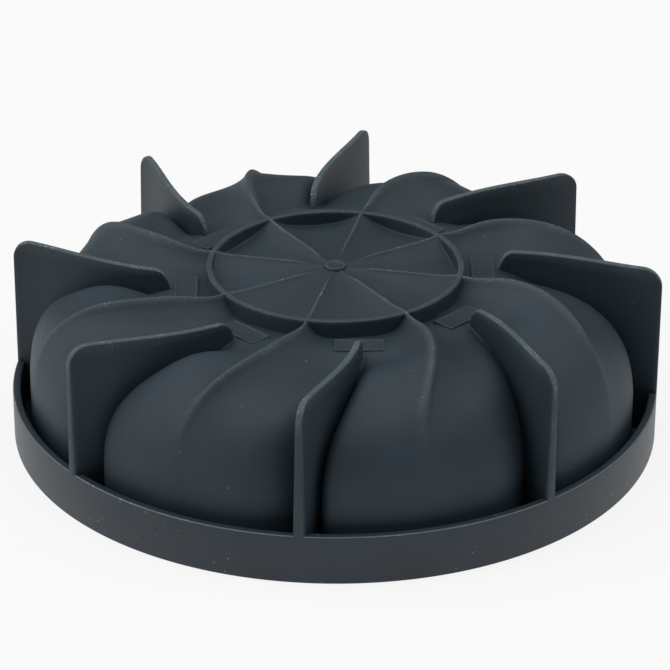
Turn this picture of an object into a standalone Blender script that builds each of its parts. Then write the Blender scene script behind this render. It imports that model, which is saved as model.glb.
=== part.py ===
"""Twisted fluted cake mould in silicone, standing upside down on its mouth.

Metres, +Z up. The origin is the centre of the mouth, which lies in the plane z = 0. The fluted cup rises from the
mouth to a sunk disc with a foot ring, eight fins stand in the valleys between its lobes, and a band goes round it.
"""

import math

import bmesh
import bpy

MM = 0.001

# Overall sizes
LOBES = 8
BAND_RADIUS = 120.0 * MM
HEIGHT = 68.2 * MM
GAP = 0.3 * MM
MERGE = 0.001 * MM

# Rim band
BAND_HEIGHT = 18.5 * MM
BAND_WALL = 3.0 * MM
BAND_FILLET = 0.7 * MM

# Cup
CUP_WALL = 2.4 * MM
LIP_THICKNESS = 2.4 * MM
CHANNEL = 3.1 * MM
VALLEY_DEPTH = 10.7 * MM
STRAIGHT_WALL = 21.0 * MM
COLLAR_WIDTH = 22.0 * MM
LOBE_RISE = 2.3 * MM
SECTOR_SAG = 5.7 * MM
LOBE_FULLNESS = 2.42
VALLEY_FULLNESS = 2.0
RIDGE_SHARPNESS = 6.5
LOBE_SHARPNESS = 3.6
FLANK_SHARPNESS = 9.5
BULGE_START = 60.0 * MM
BULGE_RUN = 58.0 * MM
MOST_BULGE = 0.95

# Twist of the lobes and the fins, clockwise seen from above
TWIST = math.radians(16.2)
TWIST_START = 42.0 * MM
TWIST_RUN = 83.0 * MM
FIRST_VALLEY = math.radians(-79.8)
RIDGE_LEAN = math.radians(2.1)
FLANK_LEAN = math.radians(3.0)

# Foot ring, lower than the fins, with the ridges just under its top
RING_RADIUS = 47.5 * MM
RING_WALL = 2.3 * MM
RING_FILLET = 0.5 * MM
RING_BELOW_FINS = 3.7 * MM
RIDGE_BELOW_RING = 1.0 * MM

# Fins
FIN_FOOT = 4.8 * MM
FIN_TOP = 2.4 * MM
FIN_SETBACK = 13.6 * MM
FIN_NOSE = 5.2 * MM
FIN_CORNER = 7.0 * MM
FIN_FALL = 2.4 * MM
FIN_START_HEIGHT = 1.0 * MM
FIN_STRIP = 6.0 * MM
FIN_SLIVER = 0.12 * MM

# Level pads between the ring and the fins' noses, and the mark where the silicone was let in
PAD_WIDTH = 18.0 * MM
PAD_HEIGHT = 1.6 * MM
PAD_FRAME = 0.8 * MM
PAD_RECESS = 0.4 * MM
PAD_SETBACK = 2.2 * MM
PAD_TO_FIN = 1.6 * MM
GATE_RADIUS = 3.1 * MM
GATE_HEIGHT = 0.7 * MM
GATE_DISH = 0.3 * MM

# Fineness of the meshes
DISC_ROWS = 3
COLLAR_ROWS = 3
LOBE_ROWS = 9
FLANK_STEPS = 6
LEAD_STEP = 0.1 * MM
WIDEST_SEAT = 0.25
BAND_STEPS = 128
GATE_STEPS = 32
CORNER_STEPS = 5
PAD_COLUMNS = 4

# Derived sizes
PITCH = 2 * math.pi / LOBES
LOBE_RADIUS = BAND_RADIUS - BAND_WALL - CHANNEL
VALLEY_RADIUS = LOBE_RADIUS - VALLEY_DEPTH
LIP_RADIUS = BAND_RADIUS - BAND_WALL - GAP
RING_INNER = RING_RADIUS - RING_WALL
RING_TOP = HEIGHT - RING_BELOW_FINS
RIDGE_TOP = RING_TOP - RIDGE_BELOW_RING
LOBE_TOP = RIDGE_TOP + LOBE_RISE
LOBE_TOP_RADIUS = RING_RADIUS + COLLAR_WIDTH
VALLEY_TOP = RIDGE_TOP - SECTOR_SAG
SEAT = FIN_FOOT / 2 + GAP
STATIONS_PER_LOBE = 2 * FLANK_STEPS + 1
STATIONS = LOBES * STATIONS_PER_LOBE


def smooth_share(value, start, run):
    """How far value is along a run, from 0 to 1, easing in and out."""
    share = min(max((value - start) / run, 0.0), 1.0)
    return share * share * (3 - 2 * share)


def twist(radius):
    return -TWIST * smooth_share(radius, TWIST_START, TWIST_RUN)


def lead(radius):
    """Angle between the twisted line and the radial direction at this radius."""
    return math.atan(radius * (twist(radius + LEAD_STEP) - twist(radius)) / LEAD_STEP)


def slant(radius):
    """How much wider a piece that follows the twisted line is, measured along a circle."""
    return 1 / math.cos(lead(radius))


def oval(share, start, end, low, high, fullness):
    """Radius and height on a quarter of a full oval, from its top at share 0 to its side at share 1."""
    angle = share * math.pi / 2
    radius = start + (end - start) * math.sin(angle) ** (2 / fullness)
    return radius, low + (high - low) * math.cos(angle) ** (2 / fullness)


def oval_share(radius, start, end, fullness):
    return math.asin(((radius - start) / (end - start)) ** (fullness / 2)) * 2 / math.pi


def cup_rows(inset):
    """Rows of the cup from its centre to its foot, moved in by inset: ridge radius and height, valley radius and
    height, the ridge's radius on the outer skin, and half the width of the fin's seat."""
    seat = SEAT + inset
    side, top = LOBE_RADIUS - inset, LOBE_TOP - inset
    valley_side, valley_top = VALLEY_RADIUS - inset, VALLEY_TOP - inset
    ridge_top = RIDGE_TOP - inset
    rows = []
    disc = [RING_INNER * i / DISC_ROWS for i in range(DISC_ROWS + 1)]
    collar = [RING_RADIUS + COLLAR_WIDTH * i / COLLAR_ROWS for i in range(COLLAR_ROWS + 1)]
    for radius in disc:
        sag = SECTOR_SAG * radius / RING_RADIUS
        rows.append((radius, ridge_top, radius, ridge_top - sag, radius, seat))
    valley_size = (RING_RADIUS, valley_side, STRAIGHT_WALL, valley_top, VALLEY_FULLNESS)
    for radius in collar:
        rise = (top - ridge_top) * smooth_share(radius, RING_RADIUS, COLLAR_WIDTH)
        share = oval_share(radius, RING_RADIUS, valley_side, VALLEY_FULLNESS)
        rows.append((radius, ridge_top + rise, *oval(share, *valley_size), radius, seat))
    for i in range(1, LOBE_ROWS + 1):
        along = i / LOBE_ROWS
        ridge = oval(along, LOBE_TOP_RADIUS, side, STRAIGHT_WALL, top, LOBE_FULLNESS)
        valley = oval(share + (1 - share) * along, *valley_size)
        rows.append((*ridge, *valley, ridge[0] + inset, seat))
    foot = 0.0 if inset else LIP_THICKNESS
    rows.append((side, foot, valley_side, foot, LOBE_RADIUS, seat))
    return rows


def flank_share(step):
    """Share of the way from the valley's flat seat to the ridge, with finer steps at both ends."""
    return (1 - math.cos(math.pi * step / FLANK_STEPS)) / 2


def ridge_weight(share, radius):
    """How near the skin is to the ridge's line, from 0 in the valley at share 0 to 1 on the ridge at share 1: a sharp
    ridge inside, which widens outside the ring and gives way to a full bulge between steep flanks."""
    sharpness = RIDGE_SHARPNESS + (LOBE_SHARPNESS - RIDGE_SHARPNESS) * smooth_share(radius, RING_RADIUS, COLLAR_WIDTH)
    sharp = share**sharpness
    bulge = 1 - (1 - share) ** FLANK_SHARPNESS
    return sharp + (bulge - sharp) * MOST_BULGE * smooth_share(radius, BULGE_START, BULGE_RUN)


def seat_angle(radius, seat):
    """Half the angle of the flat strip that a fin stands on, in the valley."""
    return min(seat * slant(radius) / max(radius, MERGE), WIDEST_SEAT * PITCH / 2)


def cup_point(row, station):
    """A point of the cup's skin: station counts round the cup, and each lobe has its flank steps on both sides."""
    ridge_radius, ridge_height, valley_radius, valley_height, outer_radius, seat_width = row
    valley, step = divmod(station, STATIONS_PER_LOBE)
    side = 1 if step <= FLANK_STEPS else -1
    share = flank_share(step if side > 0 else STATIONS_PER_LOBE - 1 - step)
    if side < 0:
        valley += 1
    weight = ridge_weight(share, outer_radius)
    radius = valley_radius + (ridge_radius - valley_radius) * weight
    height = valley_height + (ridge_height - valley_height) * weight
    seat = seat_angle(valley_radius, seat_width)
    angle = seat + (PITCH / 2 - seat) * share
    lean = RIDGE_LEAN * share + FLANK_LEAN * math.sin(math.pi * share)
    lean *= smooth_share(outer_radius, LOBE_TOP_RADIUS, LOBE_RADIUS - LOBE_TOP_RADIUS)
    angle = FIRST_VALLEY + valley * PITCH + side * angle + twist(radius) - lean
    return radius * math.cos(angle), radius * math.sin(angle), height


def clear_scene():
    for item in list(bpy.data.objects):
        bpy.data.objects.remove(item, do_unlink=True)


def silicone(name, colour, roughness):
    material = bpy.data.materials.new(name)
    material.use_nodes = True
    shader = material.node_tree.nodes["Principled BSDF"]
    shader.inputs["Base Color"].default_value = (*colour, 1.0)
    shader.inputs["Roughness"].default_value = roughness
    shader.inputs["Metallic"].default_value = 0.0
    return material


def add_piece(name, bm, material, smooth_angle=35.0):
    """Turns a bmesh into a named object of the mould's collection, shaded smooth up to an angle."""
    mesh = bpy.data.meshes.new(name)
    bmesh.ops.recalc_face_normals(bm, faces=bm.faces)
    if bm.calc_volume(signed=True) < 0:
        bmesh.ops.reverse_faces(bm, faces=bm.faces)
    bm.to_mesh(mesh)
    bm.free()
    piece = bpy.data.objects.new(name, mesh)
    bpy.data.collections["cake_mould"].objects.link(piece)
    piece.parent = bpy.data.objects["mould_centre"]
    piece.data.materials.append(material)
    mesh.shade_smooth()
    mesh.set_sharp_from_angle(angle=math.radians(smooth_angle))
    return piece


def grid(columns, rows, place):
    """A grid whose vertex in column i and row j goes to place(i, j), with meeting edges merged."""
    bm = bmesh.new()
    bmesh.ops.create_grid(bm, x_segments=columns, y_segments=rows, size=1.0)
    for index, vertex in enumerate(list(bm.verts)):
        row, column = divmod(index, columns + 1)
        vertex.co = place(column, row)
    bmesh.ops.remove_doubles(bm, verts=bm.verts, dist=MERGE)
    return bm


def make_cup():
    """The cup is one skin: out over the lobes, across the lip, and back under them on the inside."""
    outside = cup_rows(0.0)
    inside = cup_rows(CUP_WALL)
    lip_top = (LIP_RADIUS, LIP_THICKNESS, LIP_RADIUS, LIP_THICKNESS, LOBE_RADIUS, SEAT)
    lip_foot = (LIP_RADIUS, 0.0, LIP_RADIUS, 0.0, LOBE_RADIUS, SEAT)
    rows = [*outside, lip_top, lip_foot, *reversed(inside)]
    bm = grid(STATIONS, len(rows) - 1, lambda i, j: cup_point(rows[j], i % STATIONS))
    add_piece("mould_shell", bm, silicone("cup_silicone", (0.045, 0.058, 0.066), 0.6))


def rounded_profile(inner, outer, low, high, fillet):
    """Corners of a ring's cross-section, with its top corners rounded, from the inner foot up and over."""
    points = [(inner, low)]
    for centre, start in ((inner + fillet, math.pi), (outer - fillet, math.pi / 2)):
        for i in range(CORNER_STEPS):
            turn = start - i * math.pi / 2 / (CORNER_STEPS - 1)
            points.append((centre + fillet * math.cos(turn), high - fillet + fillet * math.sin(turn)))
    points.append((outer, low))
    return points


def make_band():
    """The band is a turned profile: a tall thin wall with rounded top edges."""
    profile = rounded_profile(BAND_RADIUS - BAND_WALL, BAND_RADIUS, 0.0, BAND_HEIGHT, BAND_FILLET)
    bm = bmesh.new()
    corners = [bm.verts.new((radius, 0.0, height)) for radius, height in profile]
    for first, second in zip(corners, corners[1:] + corners[:1]):
        bm.edges.new((first, second))
    band = add_piece("rim_band", bm, silicone("band_silicone", (0.048, 0.056, 0.062), 0.45))
    turn = band.modifiers.new("turn", "SCREW")
    turn.steps = turn.render_steps = BAND_STEPS
    turn.use_merge_vertices = True
    turn.merge_threshold = MERGE
    turn.use_smooth_shade = True


def make_foot_ring():
    """The ring follows the cup under it: low between the ridges and thin where it crosses them."""
    profile = rounded_profile(RING_INNER, RING_RADIUS, 0.0, RING_TOP, RING_FILLET)
    rows = cup_rows(0.0)
    inner_row, outer_row = rows[DISC_ROWS], rows[DISC_ROWS + 1]

    def place(column, row):
        radius, height = profile[row % len(profile)]
        under = cup_point(inner_row if radius < (RING_INNER + RING_RADIUS) / 2 else outer_row, column % STATIONS)
        angle = math.atan2(under[1], under[0])
        if height <= 0.0:
            return under[0], under[1], under[2] + GAP
        return radius * math.cos(angle), radius * math.sin(angle), height

    bm = grid(STATIONS, len(profile), place)
    add_piece("foot_ring", bm, silicone("ring_silicone", (0.045, 0.058, 0.066), 0.6))


def fin_top(radius):
    """Height of a fin's top edge: a round nose, a straight rise and a round outer corner."""
    nose_start = RING_RADIUS + FIN_SETBACK
    corner_start = BAND_RADIUS - FIN_CORNER
    height = HEIGHT - FIN_FALL * max(corner_start - radius, 0.0) / (corner_start - nose_start)
    to_nose = nose_start + FIN_NOSE - radius
    if to_nose > 0:
        share = 1 - math.sqrt(max(1 - (to_nose / FIN_NOSE) ** 2, 0.0))
        height += (nose_foot() + FIN_START_HEIGHT - height) * share
    to_corner = radius - corner_start
    if to_corner > 0:
        height -= FIN_CORNER - math.sqrt(max(FIN_CORNER**2 - to_corner**2, 0.0))
    return height


def nose_foot():
    return valley_height(RING_RADIUS + FIN_SETBACK)


def valley_height(radius):
    share = oval_share(radius, RING_RADIUS, VALLEY_RADIUS, VALLEY_FULLNESS)
    return oval(share, RING_RADIUS, VALLEY_RADIUS, STRAIGHT_WALL, VALLEY_TOP, VALLEY_FULLNESS)[1] + GAP


def fin_outline():
    """Corners of a fin as radius and height: along the valley, over the lip and the band, up, and back along its top."""
    nose_start = RING_RADIUS + FIN_SETBACK
    points = [(nose_start, nose_foot())]
    for row in cup_rows(0.0)[DISC_ROWS + 2 : -1]:
        if row[2] > nose_start + GAP:
            outward = GAP * (row[2] - RING_RADIUS) / (VALLEY_RADIUS - RING_RADIUS)
            points.append((row[2] + outward, row[3] + GAP))
    points.append((VALLEY_RADIUS + GAP, LIP_THICKNESS + GAP))
    points.append((LIP_RADIUS, LIP_THICKNESS + GAP))
    points.append((LIP_RADIUS, BAND_HEIGHT + GAP))
    points.append((BAND_RADIUS, BAND_HEIGHT + GAP))
    for i in range(CORNER_STEPS + 1):
        radius = BAND_RADIUS - FIN_CORNER * (1 - math.cos(math.pi / 2 * i / CORNER_STEPS))
        points.append((radius, fin_top(radius)))
    for i in range(CORNER_STEPS + 1):
        radius = nose_start + FIN_NOSE * (1 - math.sin(math.pi / 2 * i / CORNER_STEPS))
        points.append((radius, fin_top(radius)))
    return points


def make_fin(number):
    """A flat outline, cut into upright strips, given two sides, and bent round along the twist of the lobes."""
    bm = bmesh.new()
    outline = bm.faces.new([bm.verts.new((radius, 0.0, height)) for radius, height in fin_outline()])
    radius = RING_RADIUS + FIN_SETBACK + FIN_STRIP
    while radius < BAND_RADIUS:
        everything = [*bm.verts, *bm.edges, *bm.faces]
        bmesh.ops.bisect_plane(bm, geom=everything, dist=FIN_SLIVER, plane_co=(radius, 0, 0), plane_no=(1, 0, 0))
        radius += FIN_STRIP
    other_side = bmesh.ops.extrude_face_region(bm, geom=bm.faces[:])["geom"]
    bmesh.ops.translate(bm, verts=[v for v in other_side if isinstance(v, bmesh.types.BMVert)], vec=(0, 1, 0))
    for vertex in bm.verts:
        radius, side, height = vertex.co.x, 2 * vertex.co.y - 1, vertex.co.z
        lift = (height - LIP_THICKNESS) / (HEIGHT - LIP_THICKNESS)
        half = (FIN_FOOT + (FIN_TOP - FIN_FOOT) * lift) / 2
        angle = FIRST_VALLEY + (number - 1) * PITCH + twist(radius) + side * half * slant(radius) / radius
        vertex.co = (radius * math.cos(angle), radius * math.sin(angle), height)
    add_piece(f"fin_{number}", bm, bpy.data.materials["fin_silicone"])


def make_pad(number):
    """A level plate on the valley's slope, square to the fin that starts behind it: a frame round a bare field."""
    start = RING_RADIUS + PAD_SETBACK
    nose = RING_RADIUS + FIN_SETBACK
    length = nose - PAD_TO_FIN - FIN_FOOT / 2 * math.tan(abs(lead(nose))) - start
    centre = start + length / 2
    turn = lead(centre)

    def under(column, row):
        along = length * (row - 0.5)
        across = PAD_WIDTH * (column / PAD_COLUMNS - 0.5)
        outward = centre + along * math.cos(turn) - across * math.sin(turn)
        sideways = along * math.sin(turn) + across * math.cos(turn)
        radius = math.hypot(outward, sideways)
        beside = math.atan2(sideways, outward) + twist(centre)
        angle = FIRST_VALLEY + (number - 1) * PITCH + beside
        height = skin_height(radius, beside - twist(radius)) + GAP
        return radius * math.cos(angle), radius * math.sin(angle), height

    bm = grid(PAD_COLUMNS, 1, under)
    plate = bmesh.ops.extrude_face_region(bm, geom=bm.faces[:])["geom"]
    for item in plate:
        if isinstance(item, bmesh.types.BMVert):
            item.co.z = VALLEY_TOP + PAD_HEIGHT
    bmesh.ops.recalc_face_normals(bm, faces=bm.faces)
    field = [item for item in plate if isinstance(item, bmesh.types.BMFace)]
    bmesh.ops.inset_region(bm, faces=field, thickness=PAD_FRAME, use_even_offset=True)
    bmesh.ops.inset_region(bm, faces=field, thickness=PAD_RECESS / 2, depth=-PAD_RECESS, use_even_offset=True)
    add_piece(f"label_pad_{number}", bm, bpy.data.materials["pad_silicone"])


def skin_height(radius, off_valley):
    """Height of the cup's skin near the ring, at an angle off the valley's line."""
    seat = seat_angle(radius, SEAT)
    weight = ridge_weight(max(abs(off_valley) - seat, 0.0) / (PITCH / 2 - seat), radius)
    ridge = RIDGE_TOP + LOBE_RISE * smooth_share(radius, RING_RADIUS, COLLAR_WIDTH)
    valley = valley_height(radius)
    return valley + (ridge - valley) * weight


def make_gate_mark():
    """A low round button on the disc's centre, dished where the runner was cut off."""
    bm = bmesh.new()
    bmesh.ops.create_cone(
        bm,
        segments=GATE_STEPS,
        radius1=GATE_RADIUS,
        radius2=GATE_RADIUS - GATE_DISH,
        depth=GATE_HEIGHT,
        cap_ends=True,
    )
    bmesh.ops.translate(bm, verts=bm.verts, vec=(0.0, 0.0, RIDGE_TOP + GAP + GATE_HEIGHT / 2))
    bm.normal_update()
    top = max(bm.faces, key=lambda face: face.calc_center_median().z)
    bmesh.ops.inset_region(bm, faces=[top], thickness=2 * GATE_DISH, depth=-GATE_DISH, use_even_offset=True)
    add_piece("gate_mark", bm, silicone("gate_silicone", (0.05, 0.064, 0.072), 0.5))


def make_mould():
    clear_scene()
    collection = bpy.data.collections.new("cake_mould")
    bpy.context.scene.collection.children.link(collection)
    centre = bpy.data.objects.new("mould_centre", None)
    collection.objects.link(centre)
    make_cup()
    make_band()
    make_foot_ring()
    make_gate_mark()
    silicone("fin_silicone", (0.043, 0.055, 0.063), 0.6)
    silicone("pad_silicone", (0.05, 0.064, 0.072), 0.55)
    for number in range(1, LOBES + 1):
        make_fin(number)
        make_pad(number)


make_mould()
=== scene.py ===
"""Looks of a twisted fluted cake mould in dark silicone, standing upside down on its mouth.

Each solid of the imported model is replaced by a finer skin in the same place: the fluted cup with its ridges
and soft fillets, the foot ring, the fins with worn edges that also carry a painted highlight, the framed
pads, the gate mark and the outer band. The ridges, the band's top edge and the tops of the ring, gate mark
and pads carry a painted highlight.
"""

import math

import bmesh
import bpy
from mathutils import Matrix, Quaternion, Vector


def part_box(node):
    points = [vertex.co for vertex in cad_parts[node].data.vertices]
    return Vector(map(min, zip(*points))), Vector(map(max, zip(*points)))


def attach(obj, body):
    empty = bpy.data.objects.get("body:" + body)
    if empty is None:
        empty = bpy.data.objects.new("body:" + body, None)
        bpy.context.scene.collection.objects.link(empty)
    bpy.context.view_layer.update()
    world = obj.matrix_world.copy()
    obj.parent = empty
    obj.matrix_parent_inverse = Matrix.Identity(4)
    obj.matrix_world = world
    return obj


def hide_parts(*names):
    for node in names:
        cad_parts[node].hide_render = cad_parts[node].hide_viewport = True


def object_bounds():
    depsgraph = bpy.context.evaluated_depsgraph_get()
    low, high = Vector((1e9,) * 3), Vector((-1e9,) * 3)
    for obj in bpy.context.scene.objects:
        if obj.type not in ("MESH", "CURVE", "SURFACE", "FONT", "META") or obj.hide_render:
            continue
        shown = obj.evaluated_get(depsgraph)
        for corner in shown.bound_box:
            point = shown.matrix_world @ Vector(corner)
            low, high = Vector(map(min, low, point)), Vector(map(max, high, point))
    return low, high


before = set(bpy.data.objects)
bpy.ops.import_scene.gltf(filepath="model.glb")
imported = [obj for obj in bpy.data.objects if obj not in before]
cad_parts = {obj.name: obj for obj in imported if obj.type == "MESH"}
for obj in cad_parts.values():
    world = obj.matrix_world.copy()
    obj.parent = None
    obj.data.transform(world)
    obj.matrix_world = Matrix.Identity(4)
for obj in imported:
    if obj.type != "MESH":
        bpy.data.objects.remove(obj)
cad_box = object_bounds()

MM = 0.001
LOBES = sum(name.startswith("fin_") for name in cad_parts)
PITCH = 2 * math.pi / LOBES

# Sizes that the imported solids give
BAND_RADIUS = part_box("rim_band")[1].x
BAND_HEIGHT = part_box("rim_band")[1].z
RING_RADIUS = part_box("foot_ring")[1].x
RING_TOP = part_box("foot_ring")[1].z
HEIGHT = cad_box[1].z

# Band and lip
BAND_WALL = 3.0 * MM
BAND_FILLET = 0.7 * MM
BAND_FOOT_ROUNDING = 0.4
LIP_THICKNESS = 2.4 * MM
LIP_CORNER = 1.2 * MM
CHANNEL = 3.1 * MM

# How far a piece reaches into its neighbour: a little sideways, and more under its foot
EMBED = 0.3 * MM
SINK = 0.8 * MM

# Cup: its flanks bulge more and more outwards, a little later on the anticlockwise side of each fin
CUP_WALL = 2.4 * MM
VALLEY_DEPTH = 10.7 * MM
STRAIGHT_WALL = 21.0 * MM
COLLAR_WIDTH = 22.0 * MM
LOBE_RISE = 2.3 * MM
VALLEY_SAG = 5.7 * MM
RIDGE_BELOW_RING = 1.0 * MM
LOBE_FULLNESS = 2.42
VALLEY_FULLNESS = 2.0
RIDGE_SHARPNESS = 6.5
LOBE_SHARPNESS = 3.6
FLANK_SHARPNESS = 9.5
BULGE_START = 60.0 * MM
BULGE_END = 118.0 * MM
LEE_DELAY = 4.0 * MM
MOST_BULGE = 0.95

# Sunk disc: nearly flat sectors between thin ridges, level beyond the chord
DISC_SAG = 4.6 * MM
DISC_CHORD = 41.8 * MM
DISC_SHARPNESS = 2.6
CREST_ROUNDING = 0.5 * MM
RIDGE_OVER_RING = 0.8 * MM
OVER_RING_WIDTH = 4.0 * MM

# Beads on the ridges: thin on the disc, wider outside the ring, and gone low on the lobes
BEAD_HALF = 0.85 * MM
BEAD_HEIGHT = 0.65 * MM
BEAD_WIDENING = 1.9 * MM
BEAD_RISE = 0.85 * MM
BEAD_START = 8.0 * MM
BEAD_FADE = 90.0 * MM
CREST_SOFTENING = 2.0 * MM

# Level skin under the pads, and a shoulder on the anticlockwise side of each fin's inner end
PLATFORM_RISE = 1.5 * MM
PLATFORM_RADIUS = 60.0 * MM
PLATFORM_WIDTH = 8.0 * MM
SHOULDER = 0.50
SHOULDER_RADIUS = 81.0 * MM
SHOULDER_WIDTH = 15.0 * MM

# Twist of the lobes and the fins, clockwise seen from above
TWIST = math.radians(16.2)
TWIST_START = 42.0 * MM
TWIST_RUN = 83.0 * MM
FIRST_VALLEY = math.radians(-79.8)
RIDGE_LEAN = math.radians(2.1)
FLANK_LEAN = math.radians(3.0)
LEAD_STEP = 0.1 * MM

# Foot ring and gate mark
RING_WALL = 2.3 * MM
RING_FILLET = 0.6 * MM
RING_FOOT_FILLET = 0.8 * MM
GATE_RADIUS = 3.9 * MM
GATE_HEIGHT = 0.7 * MM
GATE_FLARE = 0.3 * MM
GATE_FOOT = 0.2 * MM
GATE_ROOT = 1.0 * MM
GATE_CENTRE = 0.8 * MM
GATE_DISH = 0.75

# The gate mark's rim: how far each point lies in from the edge, and below the top as a share of the height
GATE_RIM = ((0.1 * MM, 0.25), (0.35 * MM, 0.0), (0.8 * MM, 0.0), (1.2 * MM, 0.5))

# Fins, and how far round the cup a fin's foot can reach from the middle of its valley
MOST_SEAT = PITCH / 8
FIN_FOOT = 4.8 * MM
FIN_TOP = 2.4 * MM
FIN_SETBACK = 13.6 * MM
FIN_NOSE = 5.2 * MM
FIN_CORNER = 7.0 * MM
FIN_FALL = 2.4 * MM
FIN_START_HEIGHT = 1.0 * MM
FIN_EDGE = 0.6 * MM
FIN_EDGE_STEPS = 3
FIN_FILLET = 0.5 * MM
FIN_STRIP = 1.5 * MM
FIN_LAYER = 6.0 * MM
FIN_SLIVER = 0.02 * MM
FIN_BLEND = 2.0 * MM

# Pads
PAD_WIDTH = 18.0 * MM
PAD_HEIGHT = 1.6 * MM
PAD_ROOT = 2.0 * MM
PAD_FRAME = 0.8 * MM
PAD_RECESS = 0.35 * MM
PAD_SETBACK = 3.4 * MM
PAD_TO_FIN = 0.9 * MM
PAD_EDGE = 0.25 * MM
PAD_EDGE_STEPS = 2
PAD_SUNK = 0.15 * MM

# Paler edges: a painted highlight on the ridges, the band, the ring, the gate mark and the pads, and wear
# with a painted highlight on the fins; how far it reaches from an edge, and how much there is of it, where 1
# is the most
HIGHLIGHT_AND_WEAR_REACH = 0.8 * MM
BAND_HIGHLIGHT_REACH = 1.3 * HIGHLIGHT_AND_WEAR_REACH
LOBE_RIDGE_HIGHLIGHT = 0.55
RING_TOP_HIGHLIGHT = 0.35
GATE_TOP_HIGHLIGHT = 0.5
PAD_EDGE_HIGHLIGHT = 0.15

# Silicone: each pattern has a noise scale, its detail and the span of the noise that it takes
GLOSS = 0.42
MOTTLING = (26.0, 3.0, 0.35, 0.65)
MOTTLE_DEPTH = 0.14
DUST_PATCHES = (60.0, 2.0, 0.66, 0.76)
DUST_SCALE = 230.0
DUST_EDGE = (0.05, 0.09)
DUST_STRENGTH = 0.4
DUST_COLOUR = (0.30, 0.33, 0.35)
# Noise that breaks up the paler edges, and the least that it leaves of them
EDGE_BREAKUP = (900.0, 3.0, 0.3, 0.65)
LEAST_EDGE_PAINT = 0.6
SPARKS = (1600.0, 1.0, 0.60, 0.70)
SPARK_PATCHES = (90.0, 2.0, 0.45, 0.60)
SPARK_COLOUR = (0.30, 0.33, 0.34)
GRAIN = (1400.0, 3.0, 0.3, 0.7)
GRAIN_ROUGHNESS = 0.06
GRAIN_BUMP = 0.12
GRAIN_DEPTH = 0.2 * MM

# Light: the soft sky's bright patches, each with a direction and a strength, and how narrow they all are
SKY = (
    ((-1.0, 0.0, 0.35), 1.05),
    ((-0.7, 0.0, 0.7), 1.73),
    ((0.7, 0.0, 0.7), 1.39),
    ((0.0, 0.0, 1.0), 1.42),
)
SKY_FOCUS = 6.0

# Backdrop: how white the floor looks, and how much of the white walls gloss sees
FLOOR_COLOUR = (0.72, 0.72, 0.72, 1.0)
FLOOR_ROUGHNESS = 0.9
FLOOR_GLOW = 0.84
FLOOR_HALF = 3.0
FLOOR_DROP = 0.2 * MM
WALLS_IN_GLOSS = 0.55
WHITE = (1.0, 1.0, 1.0, 1.0)

# Camera: the photograph's view from a little above, through a long lens
CAMERA_ELEVATION = math.radians(27.1)
CAMERA_DISTANCE = 1.242
CAMERA_TARGET = Vector((0.0, 0.0, 35 * MM))
CAMERA_SENSOR = 36.0
CAMERA_LENS = 179.5
CAMERA_ROLL = math.radians(0.2)

# Fineness
FLANK_STEPS = 28
STATIONS_PER_LOBE = 2 * FLANK_STEPS + 1
STATIONS = LOBES * STATIONS_PER_LOBE
DISC_ROWS = 26
COLLAR_ROWS = 22
COLLAR_CROWDING = 1.4
LOBE_ROWS = 44
WALL_ROWS = 10
LIP_STEPS = 4
BAND_STEPS = 360
GATE_STEPS = 64
FIN_ROUND_STEPS = 12
ROUNDING_STEPS = 5
MERGE = 0.001 * MM
SMOOTH_ANGLE = math.radians(40.0)
CREASED_ANGLE = math.radians(50.0)

# Derived sizes
BAND_INNER = BAND_RADIUS - BAND_WALL
LOBE_RADIUS = BAND_INNER - CHANNEL
VALLEY_RADIUS = LOBE_RADIUS - VALLEY_DEPTH
RING_INNER = RING_RADIUS - RING_WALL
RIDGE_TOP = RING_TOP - RIDGE_BELOW_RING
LOBE_TOP_RADIUS = RING_RADIUS + COLLAR_WIDTH
VALLEY_TOP = RIDGE_TOP - VALLEY_SAG
FIN_START = RING_RADIUS + FIN_SETBACK


def share_of(value, start, run):
    return min(max((value - start) / run, 0.0), 1.0)


def smooth_share(value, start, run):
    """How far value is along a run, from 0 to 1, easing in and out."""
    share = share_of(value, start, run)
    return share * share * (3 - 2 * share)


def twist(radius):
    return -TWIST * smooth_share(radius, TWIST_START, TWIST_RUN)


def lead(radius):
    """Angle between the twisted line and the radial direction at this radius."""
    return math.atan(radius * (twist(radius + LEAD_STEP) - twist(radius)) / LEAD_STEP)


def slant(radius):
    return 1 / math.cos(lead(radius))


def oval(share, start, end, low, high, fullness):
    """Radius and height on a quarter of a full oval, from its top at share 0 to its side at share 1."""
    angle = share * math.pi / 2
    radius = start + (end - start) * math.sin(angle) ** (2 / fullness)
    return radius, low + (high - low) * max(math.cos(angle), 0.0) ** (2 / fullness)


def oval_share(radius, start, end, fullness):
    return math.asin(((radius - start) / (end - start)) ** (fullness / 2)) * 2 / math.pi


def valley_oval(inset=0.0):
    """Start, end, low, high and fullness of the oval that the valleys follow, moved in by inset."""
    return RING_RADIUS, VALLEY_RADIUS - inset, STRAIGHT_WALL, VALLEY_TOP - inset, VALLEY_FULLNESS


def valley_share(radius, inset=0.0):
    return oval_share(radius, RING_RADIUS, VALLEY_RADIUS - inset, VALLEY_FULLNESS)


def valley_height(radius, inset=0.0):
    return oval(valley_share(radius, inset), *valley_oval(inset))[1]


def fin_half(height):
    """Half a fin's thickness, which tapers from its foot to its top."""
    lift = (height - LIP_THICKNESS) / (HEIGHT - LIP_THICKNESS)
    return (FIN_FOOT + (FIN_TOP - FIN_FOOT) * lift) / 2


def fillet(distance, size):
    """Height of a quarter-round fillet at a distance from the wall that it runs up."""
    inward = size - min(max(distance, 0.0), size)
    return size - math.sqrt(max(size * size - inward * inward, 0.0))


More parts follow.
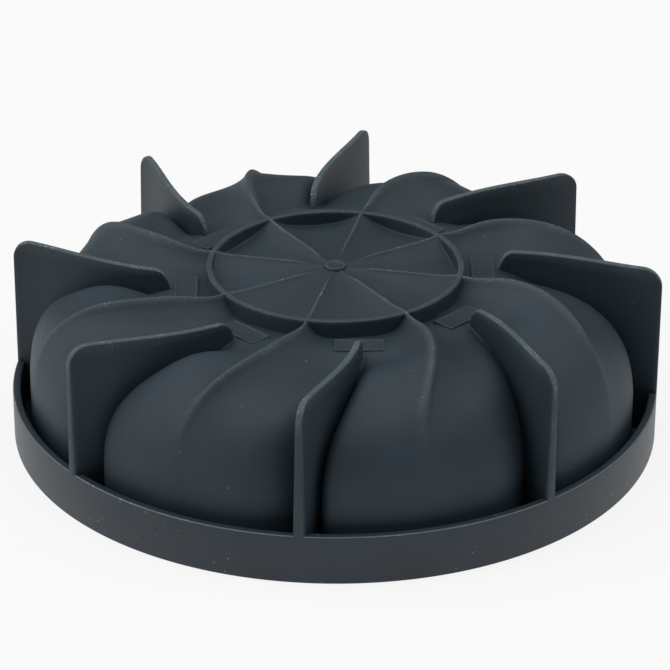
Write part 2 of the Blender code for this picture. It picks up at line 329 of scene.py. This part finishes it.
class Row:
    """One line round the cup: where its ridges and valleys lie, and its ridges' radius on the outer skin."""

    def __init__(self, ridge, valley, inset, disc=False):
        self.ridge, self.valley, self.inset, self.disc = ridge, valley, inset, disc
        self.outer = ridge[0] if disc or ridge[0] <= LOBE_TOP_RADIUS else ridge[0] + inset
        self.ridge_tilt = self.valley_tilt = (0.0, 1.0)

    def lean_out(self, before, after):
        """Sets the way that the skin faces at the ridge and in the valley, from the rows on both sides."""
        tilts = []
        for start, end in ((before.ridge, after.ridge), (before.valley, after.valley)):
            run, fall = end[0] - start[0], end[1] - start[1]
            length = math.hypot(run, fall) or 1.0
            tilts.append((-fall / length, run / length))
        self.ridge_tilt, self.valley_tilt = tilts


def platform(radius):
    """Height that the skin between two ridges gains under the pads."""
    return PLATFORM_RISE * math.exp(-(((radius - PLATFORM_RADIUS) / PLATFORM_WIDTH) ** 2))


def crest_height(radius):
    """Height of a ridge's line over the disc, the ring and the collar outside it."""
    off_ring = radius - RING_RADIUS + RING_WALL / 2
    over_ring = RIDGE_OVER_RING * math.exp(-((off_ring / OVER_RING_WIDTH) ** 2))
    rise = LOBE_RISE * smooth_share(radius, RING_RADIUS, COLLAR_WIDTH)
    return RIDGE_TOP + rise + over_ring


def cup_rows(inset, thin=1):
    """Rows of the cup from its centre to its foot, moved in by inset. A thin of 2 gives half as many."""
    side, valley_side = LOBE_RADIUS - inset, VALLEY_RADIUS - inset
    disc_rows, collar_rows, lobe_rows = DISC_ROWS // thin, COLLAR_ROWS // thin, LOBE_ROWS // thin
    rows = []
    for i in range(disc_rows + 1):
        radius = RING_INNER * math.sin(i / disc_rows * math.pi / 2)
        crest = crest_height(radius) - inset
        rows.append(Row((radius, crest), (radius, RIDGE_TOP - DISC_SAG - inset), inset, disc=True))
    for i in range(collar_rows + 1):
        radius = RING_RADIUS + COLLAR_WIDTH * (i / collar_rows) ** COLLAR_CROWDING
        valley = (radius, valley_height(radius, inset) + platform(radius))
        rows.append(Row((radius, crest_height(radius) - inset), valley, inset))
    top = crest_height(LOBE_TOP_RADIUS) - inset
    share = valley_share(LOBE_TOP_RADIUS, inset)
    for i in range(1, lobe_rows + 1):
        along = i / lobe_rows
        ridge = oval(along, LOBE_TOP_RADIUS, side, STRAIGHT_WALL, top, LOBE_FULLNESS)
        valley = oval(share + (1 - share) * along, *valley_oval(inset))
        rows.append(Row(ridge, (valley[0], valley[1] + platform(valley[0])), inset))
    foot = 0.0 if inset else LIP_THICKNESS
    corner = 0.0 if inset else LIP_CORNER
    for i in range(1, WALL_ROWS // thin + 1):
        height = STRAIGHT_WALL + (foot + corner - STRAIGHT_WALL) * i * thin / WALL_ROWS
        rows.append(Row((side, height), (valley_side, height), inset))
    for before, row, after in zip([rows[0], *rows], rows, [*rows[1:], rows[-1]]):
        row.lean_out(before, after)
    return rows


def flank_share(step):
    """Share of the way from the valley's seat to the ridge, with finer steps at both ends."""
    return (1 - math.cos(math.pi * step / FLANK_STEPS)) / 2


def skin_weight(row, share, side, half_arc):
    """How near the skin is to the ridge's line, from 0 in the valley's seat to 1 on the ridge."""
    widened = smooth_share(row.outer, RING_RADIUS, COLLAR_WIDTH)
    rounding = CREST_ROUNDING + CREST_SOFTENING * widened
    from_crest = math.hypot((1 - share) * half_arc, rounding) - rounding
    near_crest = max(1 - from_crest / max(half_arc, MM), 0.0)
    sharpness = RIDGE_SHARPNESS + (LOBE_SHARPNESS - RIDGE_SHARPNESS) * widened
    sharp = near_crest ** (DISC_SHARPNESS if row.disc else sharpness)
    bulge = 1 - (1 - share) ** FLANK_SHARPNESS
    start = BULGE_START + LEE_DELAY * side
    amount = MOST_BULGE * smooth_share(row.outer, start, BULGE_END - start)
    if side > 0:
        amount += SHOULDER * math.exp(-(((row.outer - SHOULDER_RADIUS) / SHOULDER_WIDTH) ** 2))
    return sharp + (bulge - sharp) * min(amount, 1.0)


def skin_point(row, share, side, valley):
    """A point of the cup's skin, at a share of the flank on one side of a valley."""
    half_arc = row.ridge[0] * PITCH / 2
    weight = skin_weight(row, share, side, half_arc)
    radius = row.valley[0] + (row.ridge[0] - row.valley[0]) * weight
    fin_side = (fin_half(row.valley[1]) + row.inset) * slant(row.valley[0])
    seat = min(fin_side / max(row.valley[0], MM), MOST_SEAT)
    angle = seat + (PITCH / 2 - seat) * share
    if row.disc:
        middle = math.cos(angle)
        fall = DISC_SAG * min(row.valley[0] * middle / DISC_CHORD, 1.0)
        level = RIDGE_TOP - row.inset
        height = level - fall * (1 - weight) + (row.ridge[1] - level) * weight
    else:
        height = row.valley[1] + (row.ridge[1] - row.valley[1]) * weight
    lean = RIDGE_LEAN * share + FLANK_LEAN * math.sin(math.pi * share)
    lean *= smooth_share(row.outer, LOBE_TOP_RADIUS, LOBE_RADIUS - LOBE_TOP_RADIUS)
    if not row.inset:
        bead = bead_share(row.outer, (1 - share) * half_arc)
        bead *= BEAD_HEIGHT + BEAD_RISE * smooth_share(row.outer, RING_RADIUS, COLLAR_WIDTH)
        beside_fin = (angle - seat) * radius
        rise = fillet(beside_fin, FIN_FILLET)
        rise *= smooth_share(radius, FIN_START - FIN_BLEND / 2, FIN_BLEND)
        if row.disc:
            height += fillet(RING_INNER - radius, RING_FOOT_FILLET) * (1 - weight)
        radius += bead * row.ridge_tilt[0] + rise * row.valley_tilt[0]
        height += bead * row.ridge_tilt[1] + rise * row.valley_tilt[1]
    angle = FIRST_VALLEY + valley * PITCH + side * angle + twist(radius) - lean
    return Vector((radius * math.cos(angle), radius * math.sin(angle), height))


def bead_share(radius, off_crest):
    """How high a ridge's rounded bead stands beside its crest, from 0 to 1."""
    half = BEAD_HALF + BEAD_WIDENING * smooth_share(radius, RING_RADIUS, COLLAR_WIDTH)
    here = smooth_share(radius, BEAD_START, BEAD_START)
    here *= 1 - smooth_share(radius, BEAD_FADE, LOBE_RADIUS - BEAD_FADE)
    return here * math.cos(math.pi / 2 * min(off_crest / half, 1.0))


def ridge_painted_highlight(row, station):
    """Painted highlight on the ridges' beads, most on the disc and less on the lobes."""
    if row.inset:
        return 0.0
    step = station % STATIONS_PER_LOBE
    share = flank_share(min(step, STATIONS_PER_LOBE - 1 - step))
    amount = 1.0 + (LOBE_RIDGE_HIGHLIGHT - 1.0) * smooth_share(row.outer, RING_RADIUS, COLLAR_WIDTH)
    return amount * bead_share(row.outer, (1 - share) * row.ridge[0] * PITCH / 2)


def skin_place(row, station):
    """The skin's point at a station round the cup: each lobe has its flank steps on both sides."""
    valley, step = divmod(station, STATIONS_PER_LOBE)
    if step <= FLANK_STEPS:
        return skin_point(row, flank_share(step), 1, valley)
    return skin_point(row, flank_share(STATIONS_PER_LOBE - 1 - step), -1, valley + 1)


def finish_piece(name, bm, material, nodes, smooth_angle=SMOOTH_ANGLE):
    """Makes a piece that stands for its solids: doubled points merged, and smooth up to an angle."""
    mesh = bpy.data.meshes.new(name)
    bmesh.ops.remove_doubles(bm, verts=bm.verts, dist=MERGE)
    bmesh.ops.recalc_face_normals(bm, faces=bm.faces)
    if bm.calc_volume(signed=True) < 0:
        bmesh.ops.reverse_faces(bm, faces=bm.faces)
    bm.to_mesh(mesh)
    bm.free()
    piece = bpy.data.objects.new(name, mesh)
    bpy.context.scene.collection.objects.link(piece)
    mesh.materials.append(material)
    mesh.shade_smooth()
    mesh.set_sharp_from_angle(angle=smooth_angle)
    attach(piece, "root")
    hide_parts(*nodes)


def grid(columns, rows, place, highlight_and_wear):
    """A grid: place says where the vertex of a column and row goes, and the second function how much painted
    highlight it takes.
    """
    bm = bmesh.new()
    bmesh.ops.create_grid(bm, x_segments=columns, y_segments=rows, size=1.0)
    wear_and_highlight = bm.verts.layers.float.new("wear_and_highlight")
    for index, vertex in enumerate(list(bm.verts)):
        row, column = divmod(index, columns + 1)
        vertex.co = place(column, row)
        vertex[wear_and_highlight] = highlight_and_wear(column, row)
    return bm


def mark_painted_highlight(bm, amount):
    """Marks each vertex with the amount of painted highlight that amount(radius, height) gives."""
    wear_and_highlight = bm.verts.layers.float.new("wear_and_highlight")
    for vertex in bm.verts:
        vertex[wear_and_highlight] = amount(math.hypot(vertex.co.x, vertex.co.y), vertex.co.z)


def turned(profile, steps):
    """A closed outline of radius and height, spun once round the axis."""
    bm = bmesh.new()
    corners = [bm.verts.new((radius, 0.0, height)) for radius, height in profile]
    edges = [bm.edges.new(pair) for pair in zip(corners, corners[1:] + corners[:1])]
    bmesh.ops.spin(
        bm,
        geom=corners + edges,
        cent=(0, 0, 0),
        axis=(0, 0, 1),
        angle=2 * math.pi,
        steps=steps,
        use_merge=True,
    )
    return bm


def rounded(corners, radius):
    """The outline of (radius, height, share) corners, each rounded by its share of a radius."""
    points = []
    neighbours = zip([corners[-1], *corners], corners, [*corners[1:], corners[0]])
    for last, (outward, upward, share), coming in neighbours:
        corner = Vector((outward, upward))
        if not share:
            points.append(tuple(corner))
            continue
        before = (Vector(last[:2]) - corner).normalized() * radius * share
        after = (Vector(coming[:2]) - corner).normalized() * radius * share
        for j in range(ROUNDING_STEPS + 1):
            angle = j / ROUNDING_STEPS * math.pi / 2
            points.append(tuple(corner + before * (1 - math.sin(angle)) + after * (1 - math.cos(angle))))
    return points


def soften(bm, edges, size, steps):
    """Rounds the edges of a mesh."""
    bmesh.ops.bevel(
        bm,
        geom=edges,
        offset=size,
        offset_type="OFFSET",
        segments=steps,
        profile=0.5,
        affect="EDGES",
        clamp_overlap=True,
        material=-1,
    )


def cut(bm, place, normal):
    """Cuts every face that a plane crosses."""
    everything = [*bm.verts, *bm.edges, *bm.faces]
    bmesh.ops.bisect_plane(bm, geom=everything, dist=FIN_SLIVER, plane_co=place, plane_no=normal)


def make_cup(material):
    """The cup is one skin: out over the lobes, across the lip into the band, and back on the inside."""
    outside = cup_rows(0.0)
    inside = cup_rows(CUP_WALL, thin=2)
    lip_radius = BAND_INNER + EMBED
    wall = outside[-1]
    rows = list(outside)
    for i in range(1, LIP_STEPS + 1):
        turn = i / LIP_STEPS * math.pi / 2
        out, down = LIP_CORNER * (1 - math.cos(turn)), LIP_CORNER * math.sin(turn)
        ridge = (wall.ridge[0] + out, wall.ridge[1] - down)
        valley = (wall.valley[0] + out, wall.valley[1] - down)
        rows.append(Row(ridge, valley, 0.0))
    rows.append(Row((lip_radius, LIP_THICKNESS), (lip_radius, LIP_THICKNESS), CUP_WALL))
    rows.append(Row((lip_radius, 0.0), (lip_radius, 0.0), CUP_WALL))
    rows += reversed(inside)
    bm = grid(
        STATIONS,
        len(rows) - 1,
        lambda column, row: skin_place(rows[row], column % STATIONS),
        # The ridges' beads take a painted highlight
        lambda column, row: ridge_painted_highlight(rows[row], column % STATIONS),
    )
    finish_piece("fluted_cup", bm, material, ["mould_shell"], CREASED_ANGLE)


def make_band(material):
    """The outer band: a tall thin wall with rounded edges, and a painted highlight along its outer top edge.
    """
    corners = [
        (BAND_RADIUS, 0.0, BAND_FOOT_ROUNDING),
        (BAND_RADIUS, BAND_HEIGHT - BAND_HIGHLIGHT_REACH, 0),
        (BAND_RADIUS, BAND_HEIGHT, 1.0),
        (BAND_INNER, BAND_HEIGHT, 1.0),
        (BAND_INNER, 0.0, BAND_FOOT_ROUNDING),
    ]

    # A painted highlight along the outer top edge
    def highlight_and_wear(radius, height):
        return float(radius > BAND_RADIUS - HIGHLIGHT_AND_WEAR_REACH / 2 and height > BAND_HEIGHT - HIGHLIGHT_AND_WEAR_REACH / 2)

    bm = turned(rounded(corners, BAND_FILLET), BAND_STEPS)
    mark_painted_highlight(bm, highlight_and_wear)
    finish_piece("outer_band", bm, material, ["rim_band"])


def make_foot_ring(material):
    """The ring sinks a little into the cup, so its foot follows the skin between the ridges."""
    corners = [
        (RING_RADIUS, 0.0, 0),
        (RING_RADIUS, RING_TOP - 2 * HIGHLIGHT_AND_WEAR_REACH, 0),
        (RING_RADIUS, RING_TOP, 1.0),
        (RING_INNER, RING_TOP, 1.0),
        (RING_INNER, RING_TOP - 2 * HIGHLIGHT_AND_WEAR_REACH, 0),
        (RING_INNER, 0.0, 0),
    ]
    profile = rounded(corners, RING_FILLET)

    # The collar's first row, taken without the beads
    row = cup_rows(0.0)[DISC_ROWS + 1]
    row.inset = CUP_WALL

    def place(column, index):
        radius, height = profile[index % len(profile)]
        under = skin_place(row, column % STATIONS)
        angle = math.atan2(under.y, under.x)
        if height <= 0.0:
            height = under.z - SINK
        return Vector((radius * math.cos(angle), radius * math.sin(angle), height))

    # A painted highlight along the ring's top
    def highlight_and_wear(column, index):
        return RING_TOP_HIGHLIGHT * (profile[index % len(profile)][1] > RING_TOP - HIGHLIGHT_AND_WEAR_REACH)

    bm = grid(STATIONS, len(profile), place, highlight_and_wear)
    finish_piece("foot_ring_wall", bm, material, ["foot_ring"])


def fin_top(radius):
    """Height of a fin's top edge: a round nose, a straight rise and a round outer corner."""
    corner_start = BAND_RADIUS - FIN_CORNER
    height = HEIGHT - FIN_FALL * max(corner_start - radius, 0.0) / (corner_start - FIN_START)
    to_nose = FIN_START + FIN_NOSE - radius
    if to_nose > 0:
        share = 1 - math.sqrt(max(1 - (to_nose / FIN_NOSE) ** 2, 0.0))
        height += (valley_height(FIN_START) + FIN_START_HEIGHT - height) * share
    to_corner = radius - corner_start
    if to_corner > 0:
        height -= FIN_CORNER - math.sqrt(max(FIN_CORNER**2 - to_corner**2, 0.0))
    return height


def fin_outline():
    """Corners of a fin as radius and height: along the valley, into the band, up, and back along its top."""
    points = [(FIN_START, valley_height(FIN_START) - SINK)]
    for row in cup_rows(0.0, thin=2):
        (radius, height), (outward, upward) = row.valley, row.valley_tilt
        if radius > FIN_START + MM:
            points.append((radius - SINK * outward, height - SINK * upward))
    points.append((VALLEY_RADIUS - SINK, LIP_THICKNESS - EMBED))
    points.append((BAND_INNER + EMBED, LIP_THICKNESS - EMBED))
    points.append((BAND_INNER + EMBED, BAND_HEIGHT - BAND_FILLET))
    points.append((BAND_RADIUS, BAND_HEIGHT - BAND_FILLET))
    turns = [math.pi / 2 * i / FIN_ROUND_STEPS for i in range(FIN_ROUND_STEPS + 1)]
    corner = [BAND_RADIUS - FIN_CORNER * (1 - math.cos(turn)) for turn in turns]
    nose = [FIN_START + FIN_NOSE * (1 - math.sin(turn)) for turn in turns]
    points += [(radius, fin_top(radius)) for radius in corner + nose]
    return points


def make_fin(number, material):
    """A slab with rounded edges, cut into fine strips and bent along the twist, its top edge and outer end
    marked paler for wear and a painted highlight.
    """
    bm = bmesh.new()
    bm.faces.new([bm.verts.new((radius, 0.0, height)) for radius, height in fin_outline()])
    extruded = bmesh.ops.extrude_face_region(bm, geom=bm.faces[:])["geom"]
    other_side = [item for item in extruded if isinstance(item, bmesh.types.BMVert)]
    bmesh.ops.translate(bm, verts=other_side, vec=(0, FIN_TOP, 0))
    rim = [edge for edge in bm.edges if abs(edge.verts[0].co.y - edge.verts[1].co.y) < MERGE]
    soften(bm, rim, FIN_EDGE, FIN_EDGE_STEPS)
    radius = FIN_START + FIN_STRIP
    while radius < BAND_RADIUS:
        cut(bm, (radius, 0, 0), (1, 0, 0))
        radius += FIN_STRIP
    height = STRAIGHT_WALL
    while height < HEIGHT:
        cut(bm, (0, 0, height), (0, 0, 1))
        height += FIN_LAYER
    # Paler along the top edge and the outer end: wear, and a painted highlight
    wear_and_highlight = bm.verts.layers.float.new("wear_and_highlight")
    for vertex in bm.verts:
        radius, side, height = vertex.co.x, 2 * vertex.co.y / FIN_TOP - 1, vertex.co.z
        below_top = fin_top(min(radius, BAND_RADIUS)) - height
        to_end = max(BAND_RADIUS - radius, 0.0) + FIN_EDGE
        vertex[wear_and_highlight] = 1 - share_of(min(below_top, to_end), 0.0, HIGHLIGHT_AND_WEAR_REACH)
        turn = FIRST_VALLEY + (number - 1) * PITCH + twist(radius)
        angle = turn + side * fin_half(height) * slant(radius) / radius
        vertex.co = (radius * math.cos(angle), radius * math.sin(angle), height)
    finish_piece(f"twisted_fin_{number}", bm, material, [f"fin_{number}"], CREASED_ANGLE)


def make_pad(number, material):
    """A level plate square to the fin behind it, with soft edges, a raised frame and a bare field."""
    start = RING_RADIUS + PAD_SETBACK
    length = FIN_START - PAD_TO_FIN - FIN_FOOT / 2 * math.tan(abs(lead(FIN_START))) - start
    centre = start + length / 2
    top = VALLEY_TOP + PAD_HEIGHT - PAD_SUNK
    bm = bmesh.new()
    bmesh.ops.create_cube(bm, size=1.0)
    depth = PAD_HEIGHT + PAD_ROOT
    bmesh.ops.scale(bm, verts=bm.verts, vec=(length, PAD_WIDTH, depth))
    bmesh.ops.translate(bm, verts=bm.verts, vec=(0, 0, top - depth / 2))
    upper = [face for face in bm.faces if face.normal.z > 0.9]
    bmesh.ops.inset_region(bm, faces=upper, thickness=PAD_FRAME, use_even_offset=True)
    slope = PAD_RECESS / 2
    bmesh.ops.inset_region(bm, faces=upper, thickness=slope, depth=-PAD_RECESS, use_even_offset=True)
    soften(bm, bm.edges[:], PAD_EDGE, PAD_EDGE_STEPS)
    # A painted highlight along the top edges
    mark_painted_highlight(bm, lambda radius, height: PAD_EDGE_HIGHLIGHT * (height > top - PAD_EDGE))
    across_fin = Quaternion((0, 0, 1), lead(centre)).to_matrix()
    to_valley = Quaternion((0, 0, 1), FIRST_VALLEY + (number - 1) * PITCH + twist(centre)).to_matrix()
    bmesh.ops.rotate(bm, verts=bm.verts, cent=(0, 0, 0), matrix=across_fin)
    bmesh.ops.translate(bm, verts=bm.verts, vec=(centre, 0, 0))
    bmesh.ops.rotate(bm, verts=bm.verts, cent=(0, 0, 0), matrix=to_valley)
    finish_piece(f"framed_pad_{number}", bm, material, [f"label_pad_{number}"])


def make_gate_mark(material):
    """A low round button with a raised rim, where the silicone was let in."""
    base = RIDGE_TOP - GATE_ROOT
    top = RIDGE_TOP + GATE_HEIGHT
    dish = top - GATE_DISH * GATE_HEIGHT
    profile = [(0.0, base), (GATE_RADIUS + GATE_FLARE, base), (GATE_RADIUS, RIDGE_TOP + GATE_FOOT)]
    profile += [(GATE_RADIUS - inward, top - share * GATE_HEIGHT) for inward, share in GATE_RIM]
    profile += [(GATE_CENTRE, dish), (0.0, dish)]
    bm = turned(profile, GATE_STEPS)
    # A painted highlight on the rim's top
    mark_painted_highlight(bm, lambda radius, height: GATE_TOP_HIGHLIGHT * (height > top - MERGE))
    finish_piece("gate_button", bm, material, ["gate_mark"])


def maths(nodes, links, operation, first, second):
    """The output of a math node on two sockets or numbers."""
    node = nodes.new("ShaderNodeMath")
    node.operation = operation
    for socket, value in zip(node.inputs, (first, second)):
        if isinstance(value, float):
            socket.default_value = value
        else:
            links.new(value, socket)
    return node.outputs["Value"]


def silicone(name, colour, highlight_and_wear_colour, roughness, dustiness):
    """Matte silicone: faint mottling, a fine grain, scattered dust, and paler edges with pale specks, which
    are a painted highlight and, on the fins, wear too.
    """
    material = bpy.data.materials.new(name)
    material.use_nodes = True
    nodes, links = material.node_tree.nodes, material.node_tree.links
    shader = nodes["Principled BSDF"]
    shader.inputs["Specular IOR Level"].default_value = GLOSS
    place = nodes.new("ShaderNodeTexCoord").outputs["Object"]

    def spread(value, low, high, to_low=0.0, to_high=1.0):
        node = nodes.new("ShaderNodeMapRange")
        node.inputs["From Min"].default_value = low
        node.inputs["From Max"].default_value = high
        node.inputs["To Min"].default_value = to_low
        node.inputs["To Max"].default_value = to_high
        links.new(value, node.inputs["Value"])
        return node.outputs["Result"]

    def noise(pattern):
        node = nodes.new("ShaderNodeTexNoise")
        node.inputs["Scale"].default_value = pattern[0]
        node.inputs["Detail"].default_value = pattern[1]
        links.new(place, node.inputs["Vector"])
        return node.outputs["Fac"]

    def patches(pattern, shift=0.0, least=0.0):
        """Noise that runs from least to 1 over the pattern's span, moved down by shift."""
        low, high = pattern[2:]
        return spread(noise(pattern), low - shift, high - shift, least)

    def blend(share, first, second):
        node = nodes.new("ShaderNodeMix")
        node.data_type = "RGBA"
        for socket, value in ((node.inputs["A"], first), (node.inputs["B"], second)):
            if isinstance(value, tuple):
                socket.default_value = (*value, 1.0)
            else:
                links.new(value, socket)
        links.new(share, node.inputs["Factor"])
        return node.outputs["Result"]

    def times(first, second):
        return maths(nodes, links, "MULTIPLY", first, second)

    darker = tuple((1 - MOTTLE_DEPTH) * part for part in colour)
    paler = tuple((1 + MOTTLE_DEPTH) * part for part in colour)
    mottled = blend(patches(MOTTLING), darker, paler)

    specks = nodes.new("ShaderNodeTexVoronoi")
    specks.inputs["Scale"].default_value = DUST_SCALE
    links.new(place, specks.inputs["Vector"])
    dots = spread(specks.outputs["Distance"], *DUST_EDGE, 1.0, 0.0)
    dust = times(times(dots, patches(DUST_PATCHES, dustiness)), DUST_STRENGTH + dustiness)
    dusty = blend(dust, mottled, DUST_COLOUR)

    # Paler edges from the vertex attribute: a painted highlight, with wear on the fins too, broken up by
    # noise
    edge = nodes.new("ShaderNodeAttribute")
    edge.attribute_name = "wear_and_highlight"
    highlight_and_wear = blend(times(edge.outputs["Fac"], patches(EDGE_BREAKUP, least=LEAST_EDGE_PAINT)), dusty, highlight_and_wear_colour)
    # Pale specks along the same paler edges
    sparks = times(times(patches(SPARKS), edge.outputs["Fac"]), patches(SPARK_PATCHES))
    links.new(blend(sparks, highlight_and_wear, SPARK_COLOUR), shader.inputs["Base Color"])

    grain = noise(GRAIN)
    rough = spread(grain, *GRAIN[2:], roughness - GRAIN_ROUGHNESS, roughness + GRAIN_ROUGHNESS)
    links.new(rough, shader.inputs["Roughness"])
    bump = nodes.new("ShaderNodeBump")
    bump.inputs["Strength"].default_value = GRAIN_BUMP
    bump.inputs["Distance"].default_value = GRAIN_DEPTH
    links.new(grain, bump.inputs["Height"])
    links.new(bump.outputs["Normal"], shader.inputs["Normal"])
    return material


def backdrop_share(nodes, links, in_gloss):
    """How much of the white backdrop a ray sees: all from the camera and through glass, less in gloss."""
    ray = nodes.new("ShaderNodeLightPath").outputs
    glossy = maths(nodes, links, "MULTIPLY", ray["Is Glossy Ray"], in_gloss)
    straight = maths(nodes, links, "MAXIMUM", ray["Is Camera Ray"], ray["Is Transmission Ray"])
    return maths(nodes, links, "MAXIMUM", straight, glossy)


def pale_floor():
    """A floor that looks white to the camera and in gloss, but still takes the mould's shadow."""
    material = bpy.data.materials.new("pale_floor")
    material.use_nodes = True
    nodes, links = material.node_tree.nodes, material.node_tree.links
    shader = nodes["Principled BSDF"]
    shader.inputs["Base Color"].default_value = FLOOR_COLOUR
    shader.inputs["Roughness"].default_value = FLOOR_ROUGHNESS
    glow = nodes.new("ShaderNodeEmission")
    glow.inputs["Color"].default_value = WHITE
    amount = maths(nodes, links, "MULTIPLY", backdrop_share(nodes, links, 1.0), FLOOR_GLOW)
    mix = nodes.new("ShaderNodeMixShader")
    links.new(amount, mix.inputs["Fac"])
    links.new(shader.outputs["BSDF"], mix.inputs[1])
    links.new(glow.outputs["Emission"], mix.inputs[2])
    links.new(mix.outputs["Shader"], nodes["Material Output"].inputs["Surface"])
    return material


def make_floor():
    bm = bmesh.new()
    bmesh.ops.create_grid(bm, x_segments=1, y_segments=1, size=FLOOR_HALF)
    mesh = bpy.data.meshes.new("floor")
    bm.to_mesh(mesh)
    bm.free()
    floor = bpy.data.objects.new("floor", mesh)
    floor.location.z = -FLOOR_DROP
    bpy.context.scene.collection.objects.link(floor)
    mesh.materials.append(pale_floor())


def make_world():
    """A soft studio sky, brightest above and on the left.

    The camera and glass see a white backdrop, and gloss sees its share of it at both sides and above.
    """
    world = bpy.data.worlds.new("studio")
    bpy.context.scene.world = world
    world.use_nodes = True
    nodes, links = world.node_tree.nodes, world.node_tree.links
    soft = nodes["Background"]
    soft.inputs["Color"].default_value = WHITE
    direction = nodes.new("ShaderNodeTexCoord").outputs["Generated"]

    strength = 0.0
    for axis, brightness in SKY:
        towards = nodes.new("ShaderNodeVectorMath")
        towards.operation = "DOT_PRODUCT"
        links.new(direction, towards.inputs[0])
        towards.inputs[1].default_value = Vector(axis).normalized()
        facing = maths(nodes, links, "MAXIMUM", towards.outputs["Value"], 0.0)
        focused = maths(nodes, links, "POWER", facing, SKY_FOCUS)
        patch = maths(nodes, links, "MULTIPLY", focused, brightness)
        strength = maths(nodes, links, "ADD", strength, patch)
    links.new(strength, soft.inputs["Strength"])
    split = nodes.new("ShaderNodeSeparateXYZ")
    links.new(direction, split.inputs["Vector"])
    to_back = maths(nodes, links, "POWER", split.outputs["Y"], 2.0)
    to_walls = maths(nodes, links, "SUBTRACT", 1.0, to_back)
    walls = maths(nodes, links, "MULTIPLY", to_walls, WALLS_IN_GLOSS)
    white = nodes.new("ShaderNodeBackground")
    white.inputs["Color"].default_value = WHITE
    white.inputs["Strength"].default_value = 1.0
    mix = nodes.new("ShaderNodeMixShader")
    links.new(backdrop_share(nodes, links, walls), mix.inputs["Fac"])
    links.new(soft.outputs["Background"], mix.inputs[1])
    links.new(white.outputs["Background"], mix.inputs[2])
    links.new(mix.outputs["Shader"], nodes["World Output"].inputs["Surface"])


def make_camera():
    towards = Vector((0.0, -math.cos(CAMERA_ELEVATION), math.sin(CAMERA_ELEVATION)))
    place = CAMERA_TARGET + towards * CAMERA_DISTANCE
    data = bpy.data.cameras.new("camera")
    data.sensor_width = CAMERA_SENSOR
    data.lens = CAMERA_LENS
    camera = bpy.data.objects.new("camera", data)
    camera.location = place
    camera.rotation_mode = "QUATERNION"
    look = (CAMERA_TARGET - place).to_track_quat("-Z", "Y")
    camera.rotation_quaternion = look @ Quaternion((0.0, 0.0, 1.0), CAMERA_ROLL)
    bpy.context.scene.collection.objects.link(camera)
    bpy.context.scene.camera = camera


# Each silicone's paler edge colour is a painted highlight, and wear on the fins too
cup = silicone(
    "cup_silicone_skin",
    colour=(0.0180, 0.0330, 0.0455),
    highlight_and_wear_colour=(0.062, 0.092, 0.103),
    roughness=0.6,
    dustiness=0.05,
)
band = silicone(
    "band_silicone_skin",
    colour=(0.0195, 0.0310, 0.0425),
    highlight_and_wear_colour=(0.11, 0.155, 0.165),
    roughness=0.45,
    dustiness=0.24,
)
fins = silicone(
    "fin_silicone_skin",
    colour=(0.0175, 0.0315, 0.0430),
    highlight_and_wear_colour=(0.075, 0.104, 0.115),
    roughness=0.6,
    dustiness=0.05,
)

make_camera()
make_world()
make_floor()
make_cup(cup)
make_band(band)
make_foot_ring(cup)
make_gate_mark(cup)
for fin_number in range(1, LOBES + 1):
    make_fin(fin_number, fins)
    make_pad(fin_number, fins)

bpy.context.scene.view_settings.view_transform = "Standard"
